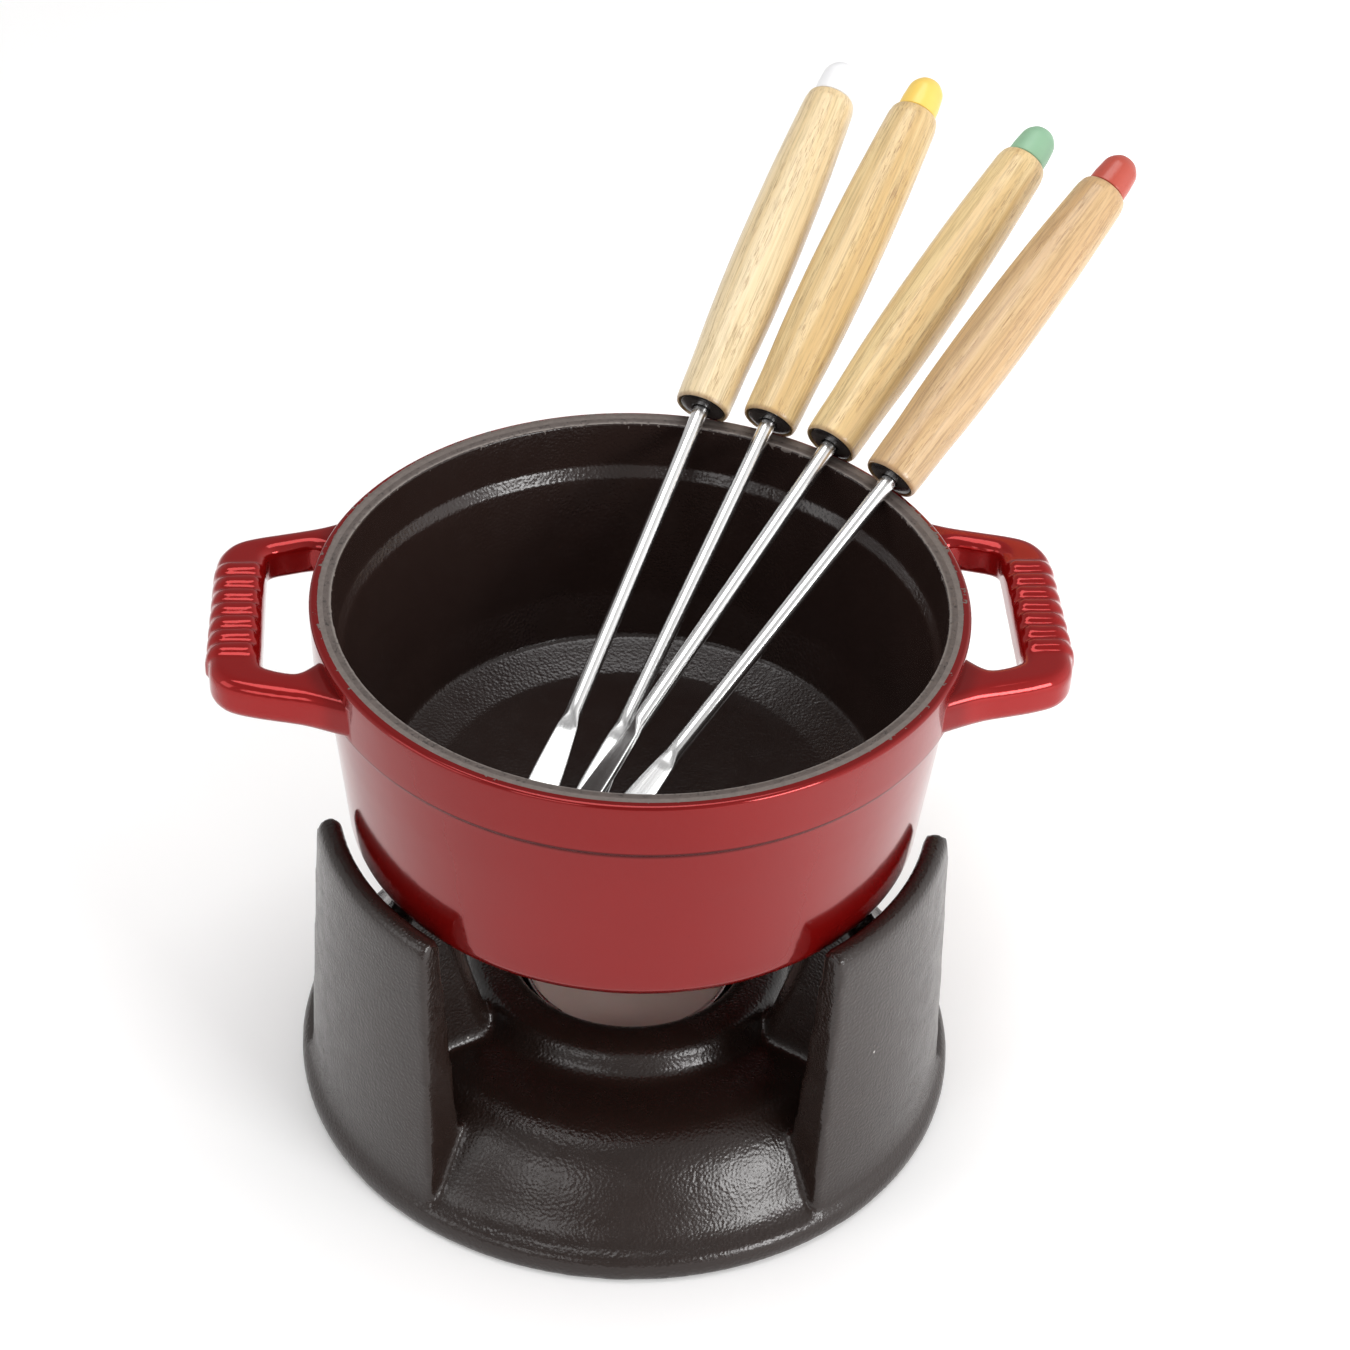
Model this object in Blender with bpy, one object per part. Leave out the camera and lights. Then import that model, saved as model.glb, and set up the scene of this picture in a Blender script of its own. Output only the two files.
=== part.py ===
"""A small cast-iron fondue set: stand, tealight, enamelled pot with two loop handles, four forks.

Frame: +Z up, origin on the floor at the centre of the stand, front of the stand towards -Y.
"""

import math

import bmesh
import bpy
from mathutils import Matrix, Vector

MM = 0.001

# Stand
STAND_SEGMENTS = 60
TEALIGHT_SEGMENTS = 36
WALL_CENTRES = (92.0, 212.6, 329.2)
WALL_HALF_ANGLE = 20.2
WALL_DRAFT_PER_MM = 0.055
WALL_TOP = 62.0
RIB_TOP = 57.0

# Pot
POT_SEGMENTS = 64
POT_BOTTOM = 57.3
RIM_TOP = 103.6
RIM_INNER = 51.8
POT_FLOOR = 58.8
POT_BASE = 55.4
HANDLE_TURN = 3.9
HANDLE_BOTTOM = 93.8
HANDLE_TOP = 101.0

# Forks
SHAFT_RADIUS = 1.35
REST_GAP = 0.15
NECK = 62.9
HEAD_LENGTH = 29.0
HEAD_HALF_WIDTH = 3.2
HEAD_HALF_THICK = 0.5
TINE_LENGTH = 6.7
TINE_SLOT_HALF = 0.95
COLLAR_LENGTH = 0.9
WOOD_LENGTH = 67.5
PIECE_GAP = 0.3
SHAFT_IN_GRIP = 30.0
GRIP_SEGMENTS = 18


def clear_scene():
    for obj in list(bpy.data.objects):
        bpy.data.objects.remove(obj, do_unlink=True)


def material(name, colour, metallic, roughness):
    made = bpy.data.materials.new(name)
    made.use_nodes = True
    shader = made.node_tree.nodes["Principled BSDF"]
    shader.inputs["Base Color"].default_value = (*colour, 1.0)
    shader.inputs["Metallic"].default_value = metallic
    shader.inputs["Roughness"].default_value = roughness
    return made


def mesh_object(name, points, faces, sharp_angle=35.0):
    """An object from points in millimetres, with its faces turned to point out."""
    work = bmesh.new()
    corners = [work.verts.new(Vector(point) * MM) for point in points]
    for face in faces:
        work.faces.new([corners[index] for index in face])
    bmesh.ops.recalc_face_normals(work, faces=work.faces)
    data = bpy.data.meshes.new(name)
    work.to_mesh(data)
    work.free()
    made = bpy.data.objects.new(name, data)
    bpy.context.scene.collection.objects.link(made)
    shade(made, sharp_angle)
    return made


def shade(obj, sharp_angle):
    obj.data.polygons.foreach_set("use_smooth", [True] * len(obj.data.polygons))
    obj.data.set_sharp_from_angle(angle=math.radians(sharp_angle))


def revolve(name, profile, segments, closed=False):
    """Turns (radius, height) points round Z. An open profile starts and ends on the axis."""
    points = []
    rings = []
    for radius, height in profile:
        if radius == 0.0:
            rings.append([len(points)] * segments)
            points.append((0.0, 0.0, height))
            continue
        rings.append(list(range(len(points), len(points) + segments)))
        for step in range(segments):
            turn = 2.0 * math.pi * step / segments
            points.append((radius * math.cos(turn), radius * math.sin(turn), height))
    faces = []
    last = len(rings) if closed else len(rings) - 1
    for index in range(last):
        lower = rings[index]
        upper = rings[(index + 1) % len(rings)]
        for step in range(segments):
            follow = (step + 1) % segments
            corners = [lower[step], lower[follow], upper[follow], upper[step]]
            face = [c for place, c in enumerate(corners) if c != corners[place - 1]]
            faces.append(face)
    return mesh_object(name, points, faces)


def loft(name, sections):
    """Joins closed sections of equal point count, and closes both ends."""
    count = len(sections[0])
    points = [point for section in sections for point in section]
    faces = [list(range(count))]
    faces.append(list(range(len(points) - count, len(points))))
    for index in range(len(sections) - 1):
        start = index * count
        for step in range(count):
            follow = (step + 1) % count
            faces.append([start + step, start + follow, start + count + follow, start + count + step])
    return mesh_object(name, points, faces)


def combine(base, others, operation):
    """Applies one Boolean after another to base and removes the other objects."""
    for other in others:
        cut = base.modifiers.new(operation.lower(), "BOOLEAN")
        cut.operation = operation
        cut.solver = "EXACT"
        cut.object = other
    bpy.context.view_layer.update()
    graph = bpy.context.evaluated_depsgraph_get()
    result = bpy.data.meshes.new_from_object(base.evaluated_get(graph))
    base.modifiers.clear()
    base.data = result
    for other in others:
        bpy.data.objects.remove(other, do_unlink=True)
    shade(base, 35.0)


def dress(obj, look):
    obj.data.materials.clear()
    obj.data.materials.append(look)


def inset_polygon(polygon, distance):
    """Moves each side of a counter-clockwise polygon inwards by distance."""
    moved = []
    count = len(polygon)
    for index in range(count):
        here = Vector(polygon[index])
        before = (here - Vector(polygon[index - 1])).normalized()
        after = (Vector(polygon[(index + 1) % count]) - here).normalized()
        normal_before = Vector((-before.y, before.x))
        normal_after = Vector((-after.y, after.x))
        mitre = (normal_before + normal_after) / (1.0 + normal_before.dot(normal_after))
        moved.append(tuple(here + mitre * distance))
    return moved


def stand_base():
    top = [
        (0.0, 5.5),
        (19.9, 5.5),
        (20.3, 5.9),
        (20.9, 22.6),
        (21.4, 24.0),
        (22.8, 25.0),
        (25.6, 25.1),
        (28.0, 24.7),
        (29.4, 23.6),
        (30.1, 22.0),
        (31.2, 20.8),
        (33.2, 20.3),
        (38.0, 20.4),
        (42.0, 20.0),
        (45.5, 18.6),
        (48.6, 16.2),
        (51.4, 12.9),
        (53.6, 9.7),
        (55.4, 7.2),
        (57.3, 5.5),
        (58.8, 4.9),
        (59.6, 4.0),
        (59.9, 2.6),
        (59.8, 0.7),
        (59.2, 0.0),
    ]
    underside = [
        (55.2, 0.0),
        (54.4, 0.9),
        (53.9, 3.2),
        (51.0, 7.0),
        (48.3, 10.6),
        (45.0, 13.5),
        (41.0, 15.1),
        (36.0, 15.6),
        (29.0, 15.4),
        (26.2, 14.0),
        (25.0, 11.5),
        (24.6, 1.0),
        (23.8, 0.0),
        (0.0, 0.0),
    ]
    return revolve("stand", top + underside, STAND_SEGMENTS)


def stand_wall(index, centre):
    """One upright curved wall, narrower towards the top, with rounded edges."""
    section = [
        (48.9, 12.9),
        (57.0, 3.6),
        (58.7, 4.0),
        (58.25, 6.0),
        (57.9, 9.0),
        (57.2, 28.0),
        (56.0, WALL_TOP - 2.6),
        (55.7, WALL_TOP - 1.0),
        (54.9, WALL_TOP - 0.1),
        (54.0, WALL_TOP),
        (53.3, WALL_TOP),
        (52.5, WALL_TOP - 0.1),
        (51.7, WALL_TOP - 1.0),
        (51.4, WALL_TOP - 2.6),
        (50.2, 34.0),
        (49.3, 18.0),
    ]
    stations = [-1.0]
    stations += [step / 4.0 * 0.999 for step in range(-4, 5)]
    stations += [1.0]
    sections = []
    for station in stations:
        at_end = abs(station) == 1.0
        outline = section
        if at_end:
            outline = section[:3] + inset_polygon(section, 1.1)[3:]
        ring = []
        for (radius, height), (_, true_height) in zip(outline, section):
            half = WALL_HALF_ANGLE + (WALL_TOP - true_height) * WALL_DRAFT_PER_MM
            if not at_end:
                half -= math.degrees(1.1 / radius)
            turn = math.radians(centre + station * half)
            ring.append((radius * math.cos(turn), radius * math.sin(turn), height))
        sections.append(ring)
    return loft(f"wall_{index}", sections)


def stand_rib(index, centre):
    """The round-nosed rib inside a wall: the pot sits on its top, which steps down near the wall."""
    levels = [(None, 0.0), (24.0, 0.0), (40.0, 0.0), (RIB_TOP - 0.9, 0.0), (RIB_TOP, 0.9)]
    nose = [0.0, 22.5, 45.0, 67.5, 90.0]
    outer_ends = (44.0, 45.8, 48.4, 53.2)
    step_down = {48.4: 5.5, 53.2: 6.5}
    side = Vector((-math.sin(math.radians(centre)), math.cos(math.radians(centre)), 0.0))
    along = Vector((math.cos(math.radians(centre)), math.sin(math.radians(centre)), 0.0))
    points = []
    per_level = len(nose) + len(outer_ends)
    for height, inset in levels:
        level = 18.0 if height is None else height
        tip = 29.2 + 0.28 * (level - 20.0) + inset
        half = 4.4 - 0.018 * (level - 20.0) - inset
        outline = []
        for angle in nose:
            turn = math.radians(angle)
            outline.append((tip + half * (1.0 - math.cos(turn)), half * math.sin(turn)))
        outline += [(end, half) for end in outer_ends]
        for radius, offset in outline:
            z = height
            if height is None:
                z = 17.8 if radius < 44.5 else 17.8 - (radius - 44.0)
            elif height > 50.0:
                z = height - step_down.get(radius, 0.0)
            for sign in (-1.0, 1.0):
                place = along * radius + side * (sign * offset)
                points.append((place.x, place.y, z))
    faces = []
    row = 2 * per_level
    for level in range(len(levels) - 1):
        low = level * row
        high = low + row
        for step in range(per_level - 1):
            for hand in (0, 1):
                here = 2 * step + hand
                faces.append([low + here, low + here + 2, high + here + 2, high + here])
        end = row - 2
        faces.append([low + end, low + end + 1, high + end + 1, high + end])
    for base in (0, (len(levels) - 1) * row):
        for step in range(per_level - 1):
            here = base + 2 * step
            faces.append([here, here + 1, here + 3, here + 2])
    return welded(f"rib_{index}", points, faces)


def welded(name, points, faces):
    """mesh_object, with points at the same place used as one."""
    unique = {}
    where = []
    for point in points:
        key = tuple(round(value, 5) for value in point)
        where.append(unique.setdefault(key, len(unique)))
    clean = []
    for face in faces:
        corners = [where[index] for index in face]
        face = [c for place, c in enumerate(corners) if c != corners[place - 1]]
        if len(face) > 2:
            clean.append(face)
    return mesh_object(name, list(unique), clean)


def build_stand():
    stand = stand_base()
    pieces = []
    for index, centre in enumerate(WALL_CENTRES):
        pieces.append(stand_wall(index, centre))
        pieces.append(stand_rib(index, centre))
    combine(stand, pieces, "UNION")
    dress(stand, material("stand_black_enamel", (0.022, 0.018, 0.016), 0.0, 0.45))
    return stand


def build_tealight():
    """Aluminium cup, wax, wick and the wick's metal foot, all on the tealight's own axis."""
    cup_base = 5.8
    cup_radius = 19.0
    sheet = 0.5
    cup = revolve(
        "tealight_cup",
        [
            (0.0, cup_base),
            (cup_radius - 1.6, cup_base),
            (cup_radius - 0.7, cup_base + 0.7),
            (cup_radius - 0.2, cup_base + 13.8),
            (cup_radius + 0.2, cup_base + 14.6),
            (cup_radius - 0.1, cup_base + 15.0),
            (cup_radius - 0.6, cup_base + 14.6),
            (cup_radius - 0.2 - sheet, cup_base + 13.8),
            (cup_radius - 0.7 - sheet, cup_base + 1.2),
            (cup_radius - 1.8, cup_base + sheet),
            (0.0, cup_base + sheet),
        ],
        TEALIGHT_SEGMENTS,
    )
    dress(cup, material("cup_aluminium", (0.77, 0.78, 0.79), 1.0, 0.3))

    foot_base = cup_base + sheet + 0.3
    foot = revolve(
        "wick_sustainer",
        [
            (1.2, foot_base),
            (6.0, foot_base),
            (6.0, foot_base + 0.4),
            (1.9, foot_base + 0.4),
            (1.7, foot_base + 2.6),
            (1.2, foot_base + 2.6),
        ],
        20,
        closed=True,
    )
    dress(foot, material("sustainer_steel", (0.6, 0.6, 0.6), 1.0, 0.35))

    wax_base = foot_base
    wax_top = cup_base + 13.2
    wax = revolve(
        "tealight_wax",
        [
            (6.35, wax_base),
            (16.9, wax_base),
            (17.6, wax_base + 0.9),
            (18.0, wax_top - 0.2),
            (17.7, wax_top),
            (4.0, wax_top - 0.15),
            (1.35, wax_top + 0.1),
            (1.35, foot_base + 3.0),
            (2.3, foot_base + 2.9),
            (2.3, foot_base + 0.75),
            (6.35, foot_base + 0.75),
        ],
        TEALIGHT_SEGMENTS,
        closed=True,
    )
    dress(wax, material("wax_paraffin", (0.86, 0.80, 0.76), 0.0, 0.5))

    wick = revolve(
        "tealight_wick",
        [
            (0.0, foot_base + 0.1),
            (0.8, foot_base + 0.1),
            (0.85, wax_top + 3.0),
            (0.6, wax_top + 5.6),
            (0.0, wax_top + 6.0),
        ],
        12,
    )
    dress(wick, material("wick_cotton", (0.75, 0.72, 0.66), 0.0, 0.9))
    return [cup, wax, wick, foot]


def pot_body():
    outside = [
        (0.0, POT_BASE),
        (35.0, POT_BASE),
        (36.6, POT_BASE + 0.7),
        (37.2, POT_BOTTOM),
        (46.4, POT_BOTTOM),
        (48.4, 57.9),
        (49.5, 59.2),
        (49.95, 61.2),
        (50.9, 70.0),
        (52.3, 83.0),
        (53.2, 92.0),
        (53.6, 93.0),
        (54.6, 93.5),
        (55.0, 94.4),
        (55.3, 101.4),
        (55.1, 102.7),
        (54.4, 103.4),
        (53.8, RIM_TOP),
    ]
    inside = [
        (52.4, RIM_TOP),
        (RIM_INNER, 103.3),
        (51.5, 102.4),
        (51.3, 95.2),
        (50.9, 94.0),
        (49.9, 93.2),
        (49.4, 91.8),
        (48.3, 82.0),
        (46.9, 70.4),
        (46.2, 64.8),
        (45.3, 62.7),
        (43.8, 61.7),
        (38.6, 59.7),
        (36.2, 59.0),
        (34.2, POT_FLOOR),
        (0.0, POT_FLOOR),
    ]
    return revolve("pot", outside + inside, POT_SEGMENTS)


def bar_section(inner, outer):
    """Rounded section of a handle, upright, between an inner and an outer point in plan."""
    inner = Vector(inner)
    outer = Vector(outer)
    width = (outer - inner).length
    across = (outer - inner) / width
    corner = 1.9
    arc = [0.0, 30.0, 60.0, 90.0]
    outline = []
    for x, z, start in (
        (width - corner, HANDLE_BOTTOM + corner, -90.0),
        (width - corner, HANDLE_TOP - corner, 0.0),
        (corner, HANDLE_TOP - corner, 90.0),
        (corner, HANDLE_BOTTOM + corner, 180.0),
    ):
        for angle in arc:
            turn = math.radians(start + angle)
            outline.append((x + corner * math.cos(turn), z + corner * math.sin(turn)))
    return [(*(inner + across * x), z) for x, z in outline]


def pot_handle(index, turn):
    """One loop handle swept through plan stations, its two roots inside the pot wall.

    Each station is (inner point, outer point), a point being the distance out from the pot's axis
    and the distance along the handle, towards the back of the set when positive.
    """
    stations = [
        ((50.7, 16.2), (45.6, 28.0)),
        ((53.0, 17.9), (49.8, 26.0)),
        ((55.6, 18.6), (54.0, 24.2)),
        ((59.6, 17.5), (60.6, 22.5)),
        ((61.8, 16.8), (65.2, 21.2)),
        ((62.7, 16.0), (68.9, 19.4)),
        ((63.1, 14.8), (71.0, 16.4)),
        ((63.1, 12.4), (71.7, 12.6)),
        ((62.9, 0.0), (71.6, 0.0)),
        ((62.7, -11.6), (71.3, -12.4)),
        ((62.5, -13.4), (70.8, -16.6)),
        ((62.1, -14.6), (68.6, -19.7)),
        ((61.1, -15.3), (64.9, -21.4)),
        ((59.0, -16.1), (60.4, -22.6)),
        ((56.8, -16.4), (55.6, -23.7)),
        ((54.9, -15.0), (51.6, -25.2)),
        ((52.6, -12.4), (46.6, -27.4)),
    ]
    side = 1.0 if abs(turn) < 90.0 else -1.0
    stations = [((i[0], side * i[1]), (o[0], side * o[1])) for i, o in stations]
    spin = Matrix.Rotation(math.radians(turn), 4, "Z")
    sections = []
    for inner, outer in stations:
        section = bar_section(inner, outer)
        sections.append([tuple(spin @ Vector(point)) for point in section])
    return loft(f"handle_{index}", sections)


def grip_ridges(index, turn):
    """Plain raised ridges across the grip bar of one handle."""
    spin = Matrix.Rotation(math.radians(turn), 4, "Z")
    low = HANDLE_TOP - 1.0
    high = HANDLE_TOP + 0.65
    section = [(-1.25, low), (1.25, low), (1.1, high - 0.45), (0.55, high), (-0.55, high), (-1.1, high - 0.45)]
    made = []
    for place in range(-3, 4):
        middle = 3.7 * place
        sections = []
        for u, shrink in ((64.0, 0.45), (64.7, 0.0), (69.7, 0.0), (70.4, 0.45)):
            ring = []
            for v, z in section:
                lowered = z - shrink if z > HANDLE_TOP else z
                ring.append(tuple(spin @ Vector((u, middle + v, lowered))))
            sections.append(ring)
        made.append(loft(f"ridge_{index}_{place}", sections))
    return made


def build_pot():
    pot = pot_body()
    pieces = []
    for index, turn in enumerate((HANDLE_TURN, HANDLE_TURN + 180.0)):
        pieces.append(pot_handle(index, turn))
        pieces += grip_ridges(index, turn)
    combine(pot, pieces, "UNION")
    dress(pot, material("pot_red_enamel", (0.42, 0.01, 0.012), 0.0, 0.12))
    return pot


def steel_fork(name, collar):
    """Round shaft that flattens into a head with two tines. Local +Z runs up the shaft."""
    sides = 12
    neck = collar - NECK
    tip = neck - HEAD_LENGTH
    stations = [
        (collar + SHAFT_IN_GRIP, SHAFT_RADIUS, SHAFT_RADIUS),
        (collar + 0.5, SHAFT_RADIUS, SHAFT_RADIUS),
        (neck + 0.8, SHAFT_RADIUS, SHAFT_RADIUS),
        (neck - 1.4, 1.62, 0.95),
        (neck - 3.4, 2.0, HEAD_HALF_THICK),
        (neck - 7.0, 2.4, HEAD_HALF_THICK),
        (neck - 11.0, 2.78, HEAD_HALF_THICK),
        (neck - 14.5, 3.0, HEAD_HALF_THICK),
        (neck - 18.0, HEAD_HALF_WIDTH, HEAD_HALF_THICK),
        (tip + 1.5, 2.75, 0.4),
        (tip, 1.9, 0.25),
    ]
    sections = []
    for z, half_width, half_thick in stations:
        flat = min(1.0, max(0.0, (half_width - SHAFT_RADIUS) / 0.65))
        ring = []
        for step in range(sides):
            turn = 2.0 * math.pi * (step + 0.5) / sides
            x = math.cos(turn)
            y = math.sin(turn)
            square = max(abs(x), abs(y))
            x += (x / square - x) * flat * 0.75
            y += (y / square - y) * flat * 0.75
            ring.append((half_width * x, half_thick * y, z))
        sections.append(ring)
    fork = loft(name, sections)
    slot_top = tip + TINE_LENGTH
    slot = []
    for y in (-2.0, 2.0):
        slot.append(
            [
                (-TINE_SLOT_HALF * 1.25, y, tip - 1.0),
                (TINE_SLOT_HALF * 1.25, y, tip - 1.0),
                (TINE_SLOT_HALF, y, slot_top - 0.9),
                (TINE_SLOT_HALF * 0.5, y, slot_top - 0.2),
                (0.0, y, slot_top),
                (-TINE_SLOT_HALF * 0.5, y, slot_top - 0.2),
                (-TINE_SLOT_HALF, y, slot_top - 0.9),
            ]
        )
    combine(fork, [loft(f"{name}_slot", slot)], "DIFFERENCE")
    return fork


def fork_grip(name):
    """Collar, turned wooden handle and end cap, in the handle's own frame: z = 0 at the collar face.

    The collar is a disc set into a shallow recess in the end of the wood.
    """
    bore = SHAFT_RADIUS + PIECE_GAP
    collar = revolve(
        f"{name}_collar",
        [(bore, 0.0), (2.2, 0.0), (3.4, 0.1), (4.15, 0.35), (4.15, COLLAR_LENGTH), (bore, COLLAR_LENGTH)],
        GRIP_SEGMENTS,
        closed=True,
    )
    wood_start = COLLAR_LENGTH + PIECE_GAP
    wood_end = wood_start + WOOD_LENGTH
    socket = wood_end - 5.5
    wood = revolve(
        f"{name}_handle",
        [
            (0.0, SHAFT_IN_GRIP + PIECE_GAP),
            (bore, SHAFT_IN_GRIP + PIECE_GAP),
            (bore, wood_start),
            (4.45, wood_start),
            (4.45, 0.3),
            (4.7, 0.15),
            (4.93, 0.6),
            (5.04, 2.6),
            (5.25, 9.5),
            (5.6, 19.0),
            (5.78, 29.0),
            (5.74, 39.0),
            (5.52, 50.0),
            (5.15, 59.0),
            (4.8, 66.0),
            (4.6, wood_end - 1.3),
            (4.15, wood_end - 0.3),
            (3.95, wood_end),
            (3.55, wood_end),
            (3.55, socket),
            (0.0, socket),
        ],
        GRIP_SEGMENTS,
    )
    cap = revolve(
        f"{name}_cap",
        [
            (0.0, socket + PIECE_GAP),
            (3.2, socket + PIECE_GAP),
            (3.2, wood_end + 0.2),
            (3.72, wood_end + 0.4),
            (3.62, wood_end + 2.4),
            (3.3, wood_end + 4.4),
            (2.6, wood_end + 6.1),
            (1.5, wood_end + 7.1),
            (0.0, wood_end + 7.5),
        ],
        GRIP_SEGMENTS,
    )
    return collar, wood, cap


def direction(slope, heading):
    slope = math.radians(slope)
    heading = math.radians(heading)
    return Vector(
        (math.cos(slope) * math.cos(heading), math.cos(slope) * math.sin(heading), math.sin(slope))
    )


def frame_along(axis, roll):
    """Rotation whose +Z runs along axis and whose X is level, turned by roll about the axis."""
    level = Vector((0.0, 0.0, 1.0)).cross(axis).normalized()
    upright = axis.cross(level)
    turn = Matrix((level, upright, axis)).transposed().to_4x4()
    return turn @ Matrix.Rotation(math.radians(roll), 4, "Z")


def empty(name, matrix):
    made = bpy.data.objects.new(name, None)
    bpy.context.scene.collection.objects.link(made)
    made.matrix_world = matrix
    return made


def build_fork(name, rim_angle, slope, heading, roll, collar, bend, cap_colour):
    """A fork leaning on the rim. bend is how far its grip turns from the shaft: (slope, heading)."""
    height = 103.5 + (SHAFT_RADIUS + REST_GAP) / math.cos(math.radians(slope))
    rim = math.radians(rim_angle)
    anchor = Vector((RIM_INNER * math.cos(rim), RIM_INNER * math.sin(rim), height))
    axis = direction(slope, heading)
    shaft_frame = empty(f"{name}_shaft_frame", Matrix.Translation(anchor * MM) @ frame_along(axis, roll))
    grip_axis = direction(slope + bend[0], heading + bend[1])
    grip_place = (anchor + axis * collar) * MM
    grip_frame = empty(f"{name}_grip_frame", Matrix.Translation(grip_place) @ frame_along(grip_axis, 0.0))

    steel = steel_fork(f"{name}_steel", collar)
    if bend != (0.0, 0.0):
        bend_shaft(steel, axis, grip_axis, collar, roll)
    dress(steel, material(f"{name}_steel", (0.72, 0.72, 0.72), 1.0, 0.18))
    steel.parent = shaft_frame

    collar_piece, wood, cap = fork_grip(name)
    dress(collar_piece, material(f"{name}_collar", (0.02, 0.018, 0.018), 0.0, 0.35))
    dress(wood, material(f"{name}_wood", (0.72, 0.48, 0.26), 0.0, 0.4))
    dress(cap, material(f"{name}_cap", cap_colour, 0.0, 0.3))
    for piece in (collar_piece, wood, cap):
        piece.parent = grip_frame


def bend_shaft(steel, axis, grip_axis, collar, roll):
    """Turns the end of the shaft that is inside the grip onto the grip's own axis."""
    to_local = frame_along(axis, roll).to_3x3().inverted()
    lean = to_local @ grip_axis
    for vertex in steel.data.vertices:
        if vertex.co.z > (collar + 1.0) * MM:
            reach = vertex.co.z - collar * MM
            vertex.co.x += lean.x / lean.z * reach
            vertex.co.y += lean.y / lean.z * reach


def main():
    clear_scene()
    build_stand()
    build_tealight()
    build_pot()
    forks = (
        ("fork_white", 80.13, 29.64, 67.70, 0.0, 2.1, (0.0, 0.0), (0.85, 0.85, 0.85)),
        ("fork_yellow", 66.29, 29.86, 64.15, 0.0, 2.1, (0.0, 0.0), (0.9, 0.65, 0.08)),
        ("fork_green", 52.78, 26.3, 55.22, -29.0, 2.1, (0.0, 0.0), (0.16, 0.5, 0.3)),
        ("fork_red", 36.95, 28.4, 48.9, 0.0, 2.1, (0.0, 1.9), (0.55, 0.04, 0.03)),
    )
    for fork in forks:
        build_fork(*fork)
    bpy.context.view_layer.update()


main()
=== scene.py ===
"""Looks of the fondue set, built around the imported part: cast-iron stand, tealight, pot, four forks."""

import math

import bmesh
import bpy
import numpy as np
from mathutils import Matrix, Vector


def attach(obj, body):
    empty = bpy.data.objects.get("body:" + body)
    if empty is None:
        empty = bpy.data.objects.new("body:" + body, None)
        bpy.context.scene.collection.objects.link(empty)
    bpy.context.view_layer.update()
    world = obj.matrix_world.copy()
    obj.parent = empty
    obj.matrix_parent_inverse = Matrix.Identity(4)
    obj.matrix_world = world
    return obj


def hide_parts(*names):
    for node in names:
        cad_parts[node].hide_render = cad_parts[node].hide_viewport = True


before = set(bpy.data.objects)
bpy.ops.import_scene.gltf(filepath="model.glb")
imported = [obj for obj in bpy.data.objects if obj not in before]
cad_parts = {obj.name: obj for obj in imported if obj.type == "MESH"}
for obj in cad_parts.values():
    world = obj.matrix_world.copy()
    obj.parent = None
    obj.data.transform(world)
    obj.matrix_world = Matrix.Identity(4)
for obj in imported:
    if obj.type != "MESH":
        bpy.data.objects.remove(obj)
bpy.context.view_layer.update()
SCENE = bpy.context.scene

# Lengths below are in millimetres and angles in degrees, unless a comment says otherwise.
# They repeat the part's own dimensions. Materials work in metres, as their coordinates do.
MM = 0.001

# Each fork: its place round the rim, its slope and heading, its head's roll, and its grip's bend.
FORKS = {
    "white": (80.13, 29.64, 67.70, 0.0, 0.0),
    "yellow": (66.29, 29.86, 64.15, 0.0, 0.0),
    "green": (52.78, 26.3, 55.22, -29.0, 0.0),
    "red": (36.95, 28.4, 48.9, 0.0, 1.9),
}
WALL_CENTRES = (92.0, 212.6, 329.2)
HANDLE_TURN = 3.9
POT_FLOOR = 58.8
POT_BASE = 55.4
POT_BOTTOM = 57.3
RIM_TOP = 103.6
RIM_INNER = 51.8


# ---------------------------------------------------------------- camera, light, floor

# The camera's place is in metres.
CAMERA_LENS = 85.0
CAMERA_PLACE = (0.0, -0.42828, 0.42117)
CAMERA_TURN = (51.98306, -2.06458, 0.77586)

# The world's light: its level ahead, behind and above, what both sides add, and its lean to the right.
WORLD_BASE = 0.40
WORLD_SIDES = 0.80
WORLD_TILT = 0.30

FLOOR_SIZE = 2.5  # metres

# Each softbox: its place, the height that it is aimed at, its size (all in metres), and its power.
SOFTBOXES = {
    "softbox_right": ((0.62, -0.58, 0.36), 0.06, (0.34, 0.34), 4.1),
    "softbox_front": ((-0.33, -0.66, 0.42), 0.06, (0.30, 0.26), 0.65),
    "softbox_left": ((-0.70, -0.30, 0.42), 0.06, (0.4, 0.4), 0.8),
    "softbox_top": ((-0.06, 0.08, 0.82), 0.08, (0.62, 0.46), 2.8),
}


def make_camera():
    data = bpy.data.cameras.new("camera")
    data.lens = CAMERA_LENS
    data.sensor_width = 36.0
    data.clip_start = 0.01
    data.clip_end = 50.0
    camera = bpy.data.objects.new("camera", data)
    camera.location = CAMERA_PLACE
    camera.rotation_euler = [math.radians(angle) for angle in CAMERA_TURN]
    SCENE.collection.objects.link(camera)
    SCENE.camera = camera


def area_light(name, place, aim_height, size, power):
    data = bpy.data.lights.new(name, "AREA")
    data.shape = "RECTANGLE"
    data.size, data.size_y = size
    data.energy = power
    light = bpy.data.objects.new(name, data)
    light.location = place
    aim = Vector((0.0, 0.0, aim_height)) - Vector(place)
    light.rotation_euler = aim.to_track_quat("-Z", "Y").to_euler()
    SCENE.collection.objects.link(light)


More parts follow.
